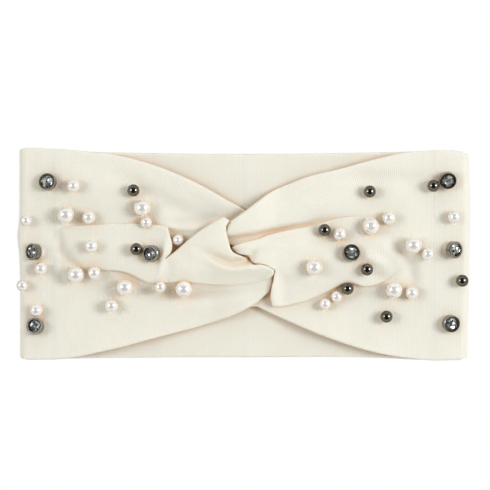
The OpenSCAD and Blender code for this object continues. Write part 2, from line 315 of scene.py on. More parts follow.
# -------------------- where the beads sit
PIN_SPAN = 1.55  # from the middle of a rivet cap to the cloth's outer face
CAP_REACH = 2.9  # how far around its cap the cloth lies flat
NUDGE_WIDTH = 8.0  # how far around a bead the cloth is moved to meet it
NUDGE_GIVE = 0.02  # keeps neighbouring beads from pulling against each other
DIMPLE, DIMPLE_WIDTH, SEAT_WIDTH = 0.35, 4.6, 1.5  # a shallow ring that is pressed in round each bead
# Both are filled by fit_nudges, for each side and layer
NUDGES = {}
SETTLED = {}


def islands(obj):
    """The separate solids of a CAD node, as arrays of points in millimetres."""
    mesh = obj.data
    co = np.array([v.co for v in mesh.vertices], float) / MM
    _, same = np.unique(np.round(co, 4), axis=0, return_inverse=True)
    same = same.ravel()
    root = list(range(same.max() + 1))

    def find(i):
        while root[i] != i:
            root[i] = root[root[i]]
            i = root[i]
        return i

    for e in mesh.edges:
        a, b = find(same[e.vertices[0]]), find(same[e.vertices[1]])
        if a != b:
            root[a] = b
    label = np.array([find(i) for i in same])
    return [co[label == k] for k in sorted(set(label.tolist()))]


def seats(side):
    """Where each bead's axis meets the cloth, and the axis, read from the rivet caps."""
    found = []
    for p in islands(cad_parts[f"{SIDES[side]}_rivet_caps"]):
        centre = (p.max(0) + p.min(0)) / 2
        axis = np.linalg.eigh(np.cov((p - centre).T))[1][:, 0]
        axis *= np.sign(axis[2])
        found.append(np.concatenate([centre + PIN_SPAN * axis, axis]))
    return np.array(found)


def nudge(side, layer, x, y):
    """Brings the cloth to the beads that are riveted to it, with a shallow dimple round each."""
    if (side, layer) not in NUDGES:
        return 0
    at, weight = NUDGES[side, layer]
    r2 = (x[:, None] - at[None, :, 0]) ** 2 + (y[:, None] - at[None, :, 1]) ** 2
    moved = np.exp(-r2 / NUDGE_WIDTH**2) @ weight
    dimple = DIMPLE * np.exp(-r2 / DIMPLE_WIDTH**2).max(1)
    middle = DIMPLE * np.exp(-r2 / SEAT_WIDTH**2).max(1)
    return moved - dimple + middle


def settle(side, layer, x, y, z, depth):
    """The cloth lies flat over each rivet cap, at right angles to its pin."""
    for cx, cy, cz, nx, ny, nz in SETTLED.get((side, layer), ()):
        r2 = (x - cx) ** 2 + (y - cy) ** 2
        near = np.exp(-((r2 / CAP_REACH**2) ** 2))
        z = z + near * (cz - depth - (nx * (x - cx) + ny * (y - cy)) / nz - z)
    return z


def fit_nudges(side):
    """Finds how far each layer has to move for its outer face to meet its own beads."""
    spots = seats(side)
    spots = spots[np.abs(spots[:, 0]) < FOLD_X]
    over = inside(spots[:, :2], UPPER_OUTLINES[side][:, :2])
    for layer, p in (("base", spots[~over]), ("upper", spots[over])):
        if layer == "upper":
            now = upper_faces(side, p[:, 0], p[:, 1])[0]
        else:
            now = base_height(side, p[:, 0], p[:, 1]) + CLOTH / 2
        r2 = ((p[:, None, :2] - p[None, :, :2]) ** 2).sum(2)
        system = np.exp(-r2 / NUDGE_WIDTH**2) + NUDGE_GIVE * np.eye(len(p))
        NUDGES[side, layer] = (p[:, :2], np.linalg.solve(system, p[:, 2] - now))
        SETTLED[side, layer] = p


# -------------------- outlines
def outline_of(runs, step=0.7):
    """Runs of (x, y, crispness) that meet at corners, as one closed line."""
    line = np.vstack([curve([p if len(p) == 3 else (*p, 1.0) for p in run], step) for run in runs])
    line[:, 2] = np.clip(line[:, 2], 0, 1)
    x, y = line[:, 0], line[:, 1]
    if (x * np.roll(y, -1) - np.roll(x, -1) * y).sum() < 0:
        line = line[::-1]
    return line


# The lower layer's outlines. Each starts at the top of the cut and ends at its foot.
BASE_RUNS = {
    LEFT: [
        [(-95, 52.6), (-86, 52.0), (-76, 51.0), (-66, 49.8), (-56, 47.7), (-44.5, 44.3), (-31, 39),
         (-19.5, 33.3), (-8.5, 27), (1.5, 21.5)],
        [(1.5, 21.5), (5, 17), (5.5, 12), (2, 9.5), (-5, 8.5), (-13, 6), (-18, 2.5), (-18, -2.5), (-10, -9.5),
         (0, -9.8), (9, -8.6), (14.6, -9.2)],
        [(14.6, -9.2), (14.5, -12), (14.1, -15.5), (12.9, -18.6), (10.2, -20.8), (6.4, -24.2), (3, -26.4)],
        [(3, -26.4), (-3, -29.4), (-12, -33), (-23.7, -36.6), (-36.2, -39.9), (-48.7, -43.2), (-61.2, -46.6),
         (-78, -50.4), (-88, -52.2), (-95, -52.8)],
    ],
    RIGHT: [
        [(95, 51.9), (86, 51.4), (77, 50.2), (63, 46.8), (48, 42.6), (34, 39.3), (25.5, 36.3), (14.5, 31.6),
         (6.5, 26), (0, 21), (-7, 16.2)],
        [(-7, 16.2), (-9.6, 11), (-8.5, 6), (-5, 3.4), (-1.5, 0.6), (0.2, -3), (0, -7), (-1.8, -11),
         (-4.5, -15), (-6.5, -20), (-3, -24.5), (2, -26.3), (6.5, -26.2)],
        [(6.5, -26.2), (17, -31.3), (33, -38.3), (44, -42.6), (57, -47), (70, -50.3), (84, -52.4),
         (95, -53.3)],
    ],
}

# The overlapping layer's outlines, with how crisply each stretch stands off the layer below
UPPER_RUNS = {
    LEFT: [
        [(-97, 9, 0), (-92, 13, 0.05), (-84, 14, 0.25), (-72, 14.8, 0.45), (-60, 15.2, 0.5), (-52, 15.2, 0.5),
         (-46, 14.8, 0.6), (-41.5, 14.2, 0.75), (-38.0, 13.4, 0.95)],
        [(-38.0, 13.4, 0.95), (-36.9, 9.2), (-35.7, 5), (-36.4, 0.8), (-39.2, -2.4)],
        [(-39.2, -2.4), (-33.5, 2), (-28.5, 6.4), (-21.3, 12), (-14.5, 16.2), (-11.2, 18.2),
         (-9.8, 18.4)],
        [(-9.8, 18.4), (-8.3, 17.4), (-7.2, 16.5)],
        [(-7.2, 16.5), (-8.9, 13.4), (-8.2, 8.5), (-6.2, 2), (-3.8, 0.1), (0.4, -1.5), (3.6, -3.5),
         (5, -5)],
        [(4.8, -5.2), (7.5, -5), (11.5, -6.1), (15, -8)],
        [(15, -8, 1), (14.8, -10, 0.8), (13, -12, 0.35), (9, -13.4, 0.1), (3, -14.6, 0.1), (-3, -15.3, 0.2),
         (-12, -15.4, 0.4), (-23.7, -14.6, 0.75), (-32, -14.2, 0.95), (-42, -14.7), (-48, -14.2), (-53, -12),
         (-58.7, -9.5), (-66, -8.3, 0.85), (-73, -8.4, 0.5), (-80, -9, 0.15), (-88, -8, 0), (-95, -4, 0),
         (-98.5, 3, 0), (-97, 9, 0)],
    ],
    RIGHT: [
        [(84, 5, 0), (78, 13, 0), (70, 17, 0), (60, 18.5, 0.15), (52, 18.6, 0.5), (44, 17.2, 0.85),
         (36, 14.7), (30, 13.3), (24, 12.2), (18.2, 11), (12.6, 9.6), (8.5, 8), (3.8, 6.6), (-0.5, 5.6),
         (-4, 4.4)],
        [(-4, 4.4), (-6, 3.2), (-5.8, 1.6), (-3.2, 0), (1.3, -0.6), (2.6, -1.6), (3.6, -3.4), (5, -4.6)],
        [(5, -4.7), (8.7, -5.2), (12, -6.4), (15.2, -8.2)],
        [(15.2, -8.2), (14.6, -13), (13.6, -17.3), (13.2, -21.5), (14.3, -26)],
        [(14.3, -26), (18, -26.3), (25, -25), (32.3, -23), (38, -20.8), (43, -18.3), (48, -15.6),
         (52, -14.5), (56, -15.2), (60, -16.2, 0.9), (65, -15.6, 0.7), (70, -13.6, 0.4), (76, -9.5, 0.1),
         (82, -3, 0), (84, 5, 0)],
    ],
}

UPPER_OUTLINES = {side: outline_of(UPPER_RUNS[side]) for side in SIDES}
FADE = 13.0  # how far in from a soft edge the upper layer leaves the base
SUNK = 0.12  # how deep a soft edge lies in the base
SOFT_DEPTH = 1.9  # thickness of the upper layer beside a soft edge


def crispness(points, outline):
    """How sharply the edge stands off the layer below, from 0 to 1. The nearest part of it counts most."""
    value = np.empty(len(points))
    for k in range(0, len(points), CHUNK):
        r2 = ((points[k : k + CHUNK, None, :] - outline[None, :, :2]) ** 2).sum(2)
        w = 1 / (r2 + 1.0) ** 2
        value[k : k + CHUNK] = (w * outline[None, :, 2]).sum(1) / w.sum(1)
    return value


def base_faces(side, x, y, d):
    """Top and bottom of the lower layer, at a distance d from its edge."""
    mid = base_height(side, x, y)
    roll = CLOTH / 2 * pillow(d / EDGE_R)
    return mid + roll, mid - roll


def upper_faces(side, x, y, d=None):
    """Top and bottom of the upper layer, which merges into the base where its edge fades out."""
    outline = UPPER_OUTLINES[side]
    p = np.column_stack([x, y])
    if d is None:
        d = to_segments(p, outline[:, :2], np.roll(outline[:, :2], -1, axis=0))[0]
    crisp = crispness(p, outline)
    mid = upper_height(side, x, y)
    roll = CLOTH / 2 * pillow(d / EDGE_R)
    below = base_height(side, x, y) + CLOTH / 2
    soft_top = below - SUNK + (mid + CLOTH / 2 - below + SUNK) * ramp(0, FADE, d)
    soft_bottom = soft_top - SOFT_DEPTH * ramp(0, 4, d)
    top = crisp * (mid + roll) + (1 - crisp) * soft_top
    bottom = crisp * (mid - roll) + (1 - crisp) * soft_bottom
    return settle(side, "upper", x, y, top, 0), settle(side, "upper", x, y, bottom, CLOTH)


for side in SIDES:
    fit_nudges(side)


# -------------------- meshes
def add_mesh(name, verts, faces, uv, material, normals=None):
    """Makes an object from points in millimetres, with a uv map that the knit follows."""
    mesh = bpy.data.meshes.new(name)
    mesh.from_pydata((np.array(verts) * MM).tolist(), [], faces)
    mesh.update()
    layer = mesh.uv_layers.new(name="knit")
    loops = np.empty(len(mesh.loops), int)
    mesh.loops.foreach_get("vertex_index", loops)
    layer.data.foreach_set("uv", (np.array(uv)[loops] * MM).astype(np.float32).ravel())
    mesh.polygons.foreach_set("use_smooth", [True] * len(mesh.polygons))
    if normals is not None:
        mesh.normals_split_custom_set_from_vertices(normals.tolist())
    mesh.materials.append(material)
    obj = bpy.data.objects.new(name, mesh)
    bpy.context.collection.objects.link(obj)
    return obj


def vertex_normals(v, faces):
    """Area-weighted normals."""
    n = np.zeros_like(v)
    for f in faces:
        a = v[f[0]]
        for i in range(1, len(f) - 1):
            c = np.cross(v[f[i]] - a, v[f[i + 1]] - a)
            for k in (f[0], f[i], f[i + 1]):
                n[k] += c
    return n / np.maximum(np.linalg.norm(n, axis=1), 1e-9)[:, None]


def slope_normals(faces_at, x, y, k):
    """Normals of the top (k = 0) or bottom (k = 1) face, from the heights on either side of each point."""
    h = SLOPE_STEP
    slope_x = (faces_at(x + h, y, 0)[k] - faces_at(x - h, y, 0)[k]) / (2 * h)
    slope_y = (faces_at(x, y + h, h)[k] - faces_at(x, y - h, -h)[k]) / (2 * h)
    n = np.column_stack([-slope_x, -slope_y, np.ones(len(x))]) * (1, -1)[k]
    return n / np.linalg.norm(n, axis=1)[:, None]


def triangulate(outline, spacing):
    """Points and triangles inside a closed outline, closer together near its edge."""
    edge = outline[:, :2]
    nxt, prv = np.roll(edge, -1, axis=0), np.roll(edge, 1, axis=0)
    along = nxt - prv
    inward = np.column_stack([-along[:, 1], along[:, 0]]) / np.linalg.norm(along, axis=1)[:, None]
    # rows that follow the edge, left out where the outline turns back on them
    extra = []
    for r in RINGS:
        p = edge + r * inward
        d = to_segments(p, edge, nxt)[0]
        extra.append(p[(d > 0.85 * r) & inside(p, edge)])
    # staggered rows over the rest
    low, high = edge.min(0), edge.max(0)
    xs = np.arange(low[0], high[0], spacing)
    ys = np.arange(low[1], high[1], spacing * 0.866)
    gx, gy = np.meshgrid(xs, ys)
    gx[::2] += spacing / 2
    p = np.column_stack([gx.ravel(), gy.ravel()])
    p = p[inside(p, edge)]
    d = to_segments(p, edge, nxt)[0]
    extra.append(p[d > RINGS[-1] + 0.45 * spacing])
    points = np.vstack([edge, *extra])
    n = len(edge)
    border = [(i, (i + 1) % n) for i in range(n)]
    made = delaunay_2d_cdt([Vector(q) for q in points], border, [], 1, 1e-5)
    return np.array([tuple(q) for q in made[0]]), [list(f) for f in made[2]]


def knit_uv(side, layer, x, y):
    """The knit follows each arm towards the knot."""
    if layer == "back":
        return np.column_stack([x, y])
    xl, yl = as_left(side, x, y)
    if layer == "upper":
        u = xl + 0.42 * yl * ramp(-46, -18, xl)
        v = yl - 0.42 * (xl + 30) * ramp(-46, -18, xl)
        return np.column_stack([u, v])
    lean = 0.5 * ramp(-92, -12, xl)
    u = xl - lean * (np.sqrt(yl**2 + 40) - 6)
    v = yl + 0.4 * (xl + 90) * lean * np.tanh(yl / 8)
    return np.column_stack([u, v])


def rim_edges(triangles):
    """The edges that only one triangle has."""
    edges = {}
    for f in triangles:
        for i in range(3):
            e = (f[i], f[(i + 1) % 3])
            key = (min(e), max(e))
            edges[key] = None if key in edges else e
    return [e for e in edges.values() if e is not None]


def rim_walls(rim, below, upper):
    """Faces that close a sheet wherever its top and bottom have their own points on the rim."""
    forward = {(f[k], f[(k + 1) % 3]) for f in upper for k in range(3)}
    walls = []
    for i, j in rim:
        # the rim edge runs one way in the upper face, and back along the lower one
        ring = [j, i, int(below[i]), int(below[j])]
        ring = [k for n, k in enumerate(ring) if k != ring[n - 1]]
        if len(ring) >= 3:
            walls.append(ring if (i, j) in forward else ring[::-1])
    return walls


def layer_mesh(name, side, outline, faces_of, layer, material, cut=None, spacing=1.05):
    """A closed sheet over an outline: the two faces meet at its rolled edge, and a cut end is walled."""
    points, triangles = triangulate(outline, spacing)
    x, y = points[:, 0], points[:, 1]
    ends = np.roll(outline, -1, axis=0)
    keep = np.ones(len(outline), bool)
    if cut is not None:
        keep = ~((np.abs(outline[:, 0] - cut) < TOUCH) & (np.abs(ends[:, 0] - cut) < TOUCH))
    d = to_segments(points, outline[keep, :2], ends[keep, :2])[0]
    top, bottom = faces_of(x, y, d)
    rim = rim_edges(triangles)
    on_rim = np.zeros(len(points), bool)
    for e in rim:
        on_rim[list(e)] = True
    on_cut = on_rim & (np.abs(x - cut) < TOUCH) if cut is not None else np.zeros(len(points), bool)
    # both faces share the points of a rolled edge, and each has its own along a cut
    shared = on_rim & ~(on_cut & (d > TOUCH))
    top = np.where(shared, (top + bottom) / 2, top)
    below = np.arange(len(points))
    own = np.flatnonzero(~shared)
    below[own] = len(points) + np.arange(len(own))
    verts = np.vstack([np.column_stack([x, y, top]), np.column_stack([x[own], y[own], bottom[own]])])
    a, b, c = (points[[f[i] for f in triangles]] for i in range(3))
    ccw = np.cross(b - a, c - a) > 0
    upper = [f if k else f[::-1] for f, k in zip(triangles, ccw)]
    lower = [[int(below[i]) for i in f[::-1]] for f in upper]
    normals = vertex_normals(verts, upper + lower)
    if cut is not None:
        rows = np.flatnonzero(on_cut & ~shared)
        q, near = points[rows], d[rows]
        middle = 0.5 * (outline[:, 1].max() + outline[:, 1].min())

        def faces_at(x, y, shift):
            return faces_of(x, y, near + shift * np.sign(middle - q[:, 1]))

        for k, target in enumerate((rows, below[rows])):
            normals[target] = slope_normals(faces_at, q[:, 0], q[:, 1], k)
    faces = upper + lower + rim_walls(rim, below, upper)
    uv = knit_uv(side, layer, verts[:, 0], verts[:, 1])
    return add_mesh(name, verts, faces, uv, material, normals)


# -------------------- the ends of the loop
# Where a strip is cut from its turn: the corners of the cut, and the Y places that both pieces share
CUT_TOP = {LEFT: 52.6, RIGHT: 51.9}
CUT_LOW = {LEFT: -52.8, RIGHT: -53.3}
CUT_MARGIN = 2.3
CUT_POINTS = 101


def cut_places(side):
    """Where the points of the cut are along Y, closer together near its ends."""
    low, top = CUT_LOW[side], CUT_TOP[side]
    rim = np.array([0, *RINGS])
    between = np.linspace(low + CUT_MARGIN, top - CUT_MARGIN, CUT_POINTS)
    return np.round(np.concatenate([low + rim, between, (top - rim)[::-1]]), 4)


def cut_faces(side, x, y):
    """Top and bottom of the lower layer at the cut."""
    return base_faces(side, x, y, np.maximum(np.minimum(CUT_TOP[side] - y, y - CUT_LOW[side]), 0))


def base_outline(side):
    """The lower layer's outline, closed by the straight cut."""
    line = outline_of(BASE_RUNS[side])
    ys = cut_places(side)[1:-1]
    end = np.column_stack([np.full(len(ys), side * CUT_X), ys, np.ones(len(ys))])
    corner_low = [side * CUT_X, CUT_LOW[side], 1.0]
    corner_high = [side * CUT_X, CUT_TOP[side], 1.0]
    ring = line[np.abs(line[:, 0] - side * CUT_X) > 1e-6]
    # start the ring at the end of the cut, so that the cut closes it
    start = np.array(corner_low if side == LEFT else corner_high)
    away = np.linalg.norm(ring[:, :2] - start[:2], axis=1)
    ring = np.roll(ring, -int(away.argmin()), axis=0)
    if side == LEFT:
        return np.vstack([[corner_low], ring, [corner_high], end[::-1]])
    return np.vstack([[corner_high], ring, [corner_low], end])


def turn_edges(side, out):
    """Upper and lower edge of the loop's end, at a distance out from its middle."""
    t = ramp(CUT_X, FOLD_X, out)
    end = ramp(FOLD_X - 1.5, FOLD_X + FOLD_R, out) ** 2
    if side == LEFT:
        return CUT_TOP[side] + 0.6 * t - 0.7 * end, CUT_LOW[side] - 0.1 * t + 0.7 * end
    return CUT_TOP[side] - 0.9 * ramp(103, 111, out) - 1.3 * end, CUT_LOW[side] + 0.3 * t + 1.5 * end


def turn_bulge(side, y):
    """The end of the loop isn't quite straight."""
    if side == LEFT:
        return -0.4 + 1.1 * np.exp(-(((y - 9) / 7) ** 2)) - 0.35 * ramp(0, -25, y)
    return -0.1 + 0.6 * np.exp(-(((y - 20) / 13) ** 2)) - 0.9 * ramp(-8, -45, y)


FRONT, TURN, BACK = range(3)
TURN_R = FOLD_R - CLOTH / 2  # radius at the middle of the cloth
SEAM_R = 0.6  # how far in from a side seam the cloth is drawn in


def turn_stations():
    """The rows of a turn: out along the front, round by angle, and back to the side seam."""
    stations = [(FRONT, x) for x in np.linspace(CUT_X, FOLD_X, 14)]
    stations += [(TURN, a) for a in np.radians(np.linspace(90, 270, 25))[1:-1]]
    stations += [(BACK, x) for x in np.linspace(FOLD_X, CUT_X + 1.2, 10)]
    return stations + [(BACK, CUT_X + x) for x in (SEAM_R, 0.3, 0.12, 0)]


def turn_row(side, part, value, ys):
    """One row of a turn: the middle of the cloth, which way faces out, and half the thickness."""
    out = FOLD_X + TURN_R * abs(math.cos(value)) if part == TURN else value
    top, low = turn_edges(side, out)
    y = np.where(ys > 0, ys * top / CUT_TOP[side], ys * low / CUT_LOW[side])
    bulge = turn_bulge(side, y) * ramp(CUT_X, FOLD_X + TURN_R, out)
    front = base_height(side, np.full_like(y, side * min(out, FOLD_X)), y)
    half = CLOTH / 2 * pillow(np.minimum(ys - ys[0], ys[-1] - ys) / EDGE_R)
    if part == FRONT:
        z, normal = front, (0, 0, 1)
    elif part == TURN:
        rise = math.sin(value)
        z = FOLD_R + TURN_R * rise + (front - BASE_MID) * ramp(-0.2, 1.0, rise)
        normal = (abs(math.cos(value)), 0, rise)
    else:
        z, normal = np.full_like(y, CLOTH / 2), (0, 0, -1)
        half = half * pillow((value - CUT_X) / SEAM_R)
    return np.column_stack([out + bulge, y, z]), np.array(normal, float), half


def fold_mesh(name, side, material):
    """The flat end of the front, the turn, and the start of the back, as one curved sheet."""
    ys = cut_places(side)
    rows = [turn_row(side, part, value, ys) for part, value in turn_stations()]
    n, m = len(rows), len(ys)
    flip = np.array([side, 1, 1])
    outer = np.array([(mid + normal * half[:, None]) * flip for mid, normal, half in rows])
    inner = np.array([(mid - normal * half[:, None]) * flip for mid, normal, half in rows])
    # the inner face shares the points of both edges and of the row at the seam
    own = [(i, j) for i in range(n - 1) for j in range(1, m - 1)]
    grid = np.arange(n * m).reshape(n, m)
    below = grid.copy()
    for k, (i, j) in enumerate(own):
        below[i, j] = n * m + k
    verts = np.vstack([outer.reshape(-1, 3), np.array([inner[i, j] for i, j in own])])
    faces, walls = [], []
    for i in range(n - 1):
        for j in range(m - 1):
            faces.append([grid[i, j], grid[i + 1, j], grid[i + 1, j + 1], grid[i, j + 1]])
            faces.append([below[i, j + 1], below[i + 1, j + 1], below[i + 1, j], below[i, j]])
    for j in range(m - 1):
        ring = [grid[0, j], grid[0, j + 1], below[0, j + 1], below[0, j]]
        walls.append([k for t, k in enumerate(ring) if k != ring[t - 1]])
    if side == LEFT:
        faces = [f[::-1] for f in faces]
        walls = [f[::-1] for f in walls]
    faces = [[int(k) for k in f] for f in faces]
    walls = [[int(k) for k in f] for f in walls]
    normals = vertex_normals(verts, faces)
    # the strip's own normals, so that no line shows at the cut
    q = verts[grid[0, 1:-1]]
    for k, target in enumerate((grid[0, 1:-1], below[0, 1:-1])):
        normals[target] = slope_normals(lambda x, y, shift: cut_faces(side, x, y), q[:, 0], q[:, 1], k)
    # the knit runs round the turn
    steps = np.linalg.norm(np.diff(outer[:, m // 2], axis=0), axis=1)
    run = np.concatenate([[0], np.cumsum(steps)])
    around = np.column_stack([np.repeat(-CUT_X - run, m), -side * np.tile(ys, n)])
    ahead = knit_uv(side, "base", verts[: n * m, 0], verts[: n * m, 1])
    mix = np.repeat(ramp(4, 14, run), m)[:, None]
    uv = ahead * (1 - mix) + around * mix
    uv = np.vstack([uv, uv[[i * m + j for i, j in own]]])
    return add_mesh(name, verts, faces + walls, uv, material, normals)


# The back band's edges between its middle and the side seams
BACK_TOP = {
    LEFT: [(86, 51.9), (72, 51.2), (50, 50.8), (25, 50.4)],
    RIGHT: [(86, 51.6), (72, 51.2), (50, 50.8), (25, 50.4)],
}
BACK_LOW = {
    LEFT: [(25, -51.9), (50, -52.1), (72, -52.3), (86, -52.6)],
    RIGHT: [(25, -51.8), (50, -51.8), (72, -52.4), (86, -53.1)],
}


def back_mesh(name, side, material):
    """Half of the plain band behind, from the middle to the side seam."""
    top = [(CUT_X, CUT_TOP[side]), *BACK_TOP[side], (0, MIDDLE_TOP)]
    low = [(0, MIDDLE_LOW), *BACK_LOW[side], (CUT_X, CUT_LOW[side])]
    runs = (top, (top[-1], low[0]), low, (low[-1], top[0]))
    outline = outline_of([[(side * x, y) for x, y in run] for run in runs])

    def faces_of(x, y, d):
        # the hems roll, the cloth is drawn in at the side seam, and a groove follows the middle seam outside
        seam = CUT_X - np.abs(x)
        half = CLOTH / 2 * pillow(d / EDGE_R) * np.maximum(pillow(seam / SEAM_R), 0.02)
        lift = 0.3 * ripple(0.8 * x + 40, y) * ramp(0, 12, seam)
        belly = 2.8 * np.exp(-((x / 46) ** 2)) * ramp(-8, 34, d)
        dent = 0.55 * np.exp(-((x / 0.7) ** 2)) * ramp(0.5, 4, d)
        return CLOTH / 2 + half + lift + belly, CLOTH / 2 - half + dent + 0.8 * belly

    return layer_mesh(name, side, outline, faces_of, "back", material, cut=0.0)


STITCH_PITCH = 2.6
STITCH_MARGINS = (2.2, 2.0)  # bare cloth at the lower and upper end of a seam
STITCH_SAG = 0.12
STITCH_SIDES = 8
# One stitch: places along it, and its radius there
STITCH_RINGS = ((-1.0, 0.1), (-0.85, 0.2), (-0.4, 0.26), (0.4, 0.26), (0.85, 0.2), (1.0, 0.1))
MIDDLE_STITCH_Z, SIDE_STITCH_Z = 0.45, 0.55  # the middle of the thread


def stitch_mesh(name, x, z, low, top):
    """A row of sewn stitches along Y. Each is a short bowed thread."""
    verts, faces = [], []
    for y in np.arange(low + STITCH_MARGINS[0], top - STITCH_MARGINS[1], STITCH_PITCH):
        first = len(verts)
        for along, radius in STITCH_RINGS:
            bow = z - STITCH_SAG * (1 - along**2)
            for k in range(STITCH_SIDES):
                a = math.tau * k / STITCH_SIDES
                verts.append((x + radius * math.cos(a), y + along, bow + radius * math.sin(a)))
        for i in range(len(STITCH_RINGS) - 1):
            for k in range(STITCH_SIDES):
                a = first + i * STITCH_SIDES + k
                b = first + i * STITCH_SIDES + (k + 1) % STITCH_SIDES
                faces.append([a, b, b + STITCH_SIDES, a + STITCH_SIDES])
        faces.append([first + k for k in range(STITCH_SIDES)][::-1])
        faces.append([first + (len(STITCH_RINGS) - 1) * STITCH_SIDES + k for k in range(STITCH_SIDES)])
    v = np.array(verts)
    return add_mesh(name, v, [f[::-1] for f in faces], v[:, :2], THREAD)


# -------------------- materials
def new_material(name):
    """A material with only a Principled shader, its tree and that shader."""
    m = bpy.data.materials.new(name)
    m.use_nodes = True
    m.node_tree.nodes.clear()
    tree = m.node_tree
    out = tree.nodes.new("ShaderNodeOutputMaterial")
    shader = tree.nodes.new("ShaderNodeBsdfPrincipled")
    tree.links.new(shader.outputs[0], out.inputs[0])
    return m, tree, shader


def node(tree, kind, **values):
    """Adds a node, and sets its properties and sockets by name."""
    n = tree.nodes.new(kind)
    for key, value in values.items():
        if hasattr(n, key):
            setattr(n, key, value)
        else:
            n.inputs[key].default_value = value
    return n


def math_node(tree, operation, *values):
    """Adds a calculation on numbers and sockets."""
    n = tree.nodes.new("ShaderNodeMath")
    n.operation = operation
    for i, value in enumerate(values):
        if isinstance(value, (int, float)):
            n.inputs[i].default_value = value
        else:
            tree.links.new(value, n.inputs[i])
    return n.outputs[0]


def mix_colours(tree, factor, low, high):
    """Adds a blend between two colours, each a colour or a socket."""
    mix = node(tree, "ShaderNodeMix", data_type="RGBA")
    tree.links.new(factor, mix.inputs["Factor"])
    for i, colour in ((6, low), (7, high)):
        if isinstance(colour, tuple):
            mix.inputs[i].default_value = (*colour, 1)
        else:
            tree.links.new(colour, mix.inputs[i])
    return mix.outputs[2]


def noise(tree, scale, detail):
    """Adds noise that is fixed to the object."""
    place = node(tree, "ShaderNodeTexCoord")
    cloud = node(tree, "ShaderNodeTexNoise", Scale=scale, Detail=detail)
    tree.links.new(place.outputs["Object"], cloud.inputs["Vector"])
    return cloud.outputs[0]


def finish_shader(shader, values):
    for name, value in values.items():
        shader.inputs[name].default_value = value


def clouded(name, scale, detail, dark, light, values):
    """A material whose colour drifts between two tones."""
    m, t, shader = new_material(name)
    t.links.new(mix_colours(t, noise(t, scale, detail), dark, light), shader.inputs["Base Color"])
    finish_shader(shader, values)
    return m


# One stitch of the knit, in metres: across and up
WALE = 0.00078
COURSE = 0.00062


def jersey():
    """Fine-gauge cream knit."""
    m, t, shader = new_material("cream jersey")
    uv = node(t, "ShaderNodeUVMap", uv_map="knit")
    split = t.nodes.new("ShaderNodeSeparateXYZ")
    t.links.new(uv.outputs[0], split.inputs[0])
    # ribs of V-shaped stitches
    across = math_node(t, "MULTIPLY", split.outputs[0], math.pi / WALE)
    rib = math_node(t, "ABSOLUTE", math_node(t, "SINE", across))
    wave = math_node(t, "SINE", math_node(t, "MULTIPLY", across, 2.0))
    rows = math_node(t, "MULTIPLY", split.outputs[1], math.tau / COURSE)
    up = math_node(t, "ADD", rows, math_node(t, "MULTIPLY", wave, 0.9))
    stitch = math_node(t, "MULTIPLY_ADD", math_node(t, "SINE", up), 0.3, 0.7)
    knit = math_node(t, "MULTIPLY", rib, stitch)
    fuzz = math_node(t, "MULTIPLY", noise(t, 2100.0, 2.0), 0.25)
    bump = node(t, "ShaderNodeBump", Strength=0.55, Distance=0.00022)
    t.links.new(math_node(t, "ADD", knit, fuzz), bump.inputs["Height"])
    t.links.new(bump.outputs[0], shader.inputs["Normal"])
    cloud = math_node(t, "MULTIPLY", noise(t, 38.0, 3.0), 0.25)
    tone = math_node(t, "ADD", cloud, math_node(t, "MULTIPLY", knit, 0.75))
    cream = mix_colours(t, tone, (0.675, 0.65, 0.56), (0.805, 0.805, 0.74))
    # painted shade: where the AO node finds deep folds, the base colour is painted towards a dark warm peach,
    # standing in for the shade in the creases and the warm light that soaks through the cloth there
    crease_shade_occlusion = node(t, "ShaderNodeAmbientOcclusion", samples=6, Distance=0.009)
    depth = node(t, "ShaderNodeMapRange", interpolation_type="SMOOTHSTEP")
    t.links.new(crease_shade_occlusion.outputs["AO"], depth.inputs["Value"])
    depth.inputs["From Min"].default_value = 0.15
    depth.inputs["From Max"].default_value = 0.92
    # the painted crease shade, mixed over the cream
    warm = mix_colours(t, depth.outputs[0], (0.80, 0.55, 0.33), cream)
    t.links.new(warm, shader.inputs["Base Color"])
    finish_shader(shader, {
        "Roughness": 0.88, "Specular IOR Level": 0.25, "Sheen Weight": 0.12, "Sheen Roughness": 0.5,
        "Subsurface Weight": 0.22, "Subsurface Radius": (1.0, 0.55, 0.3), "Subsurface Scale": 0.0022,
    })
    return m


def pearl():
    return clouded("pearl lacquer", 240.0, 2.0, (0.79, 0.775, 0.745), (0.85, 0.84, 0.815), {
        "Roughness": 0.2, "Metallic": 0.4, "Specular IOR Level": 0.6, "Coat Weight": 0.5,
        "Coat Roughness": 0.06,
    })


def gunmetal():
    return clouded("gunmetal plate", 700.0, 3.0, (0.10, 0.094, 0.082), (0.20, 0.187, 0.163), {
        "Metallic": 1.0, "Roughness": 0.13,
    })


def cup_metal():
    return clouded("cup plate", 900.0, 3.0, (0.20, 0.195, 0.175), (0.33, 0.32, 0.29), {
        "Metallic": 1.0, "Roughness": 0.22,
    })


# The stone's small facets, whose shades are painted reflections: where each shade starts, and the shade
FACET_REFLECTION_SHADES = ((0.0, 0.05), (0.28, 0.2), (0.45, 0.42), (0.6, 0.7), (0.7, 0.12), (0.86, 0.32))


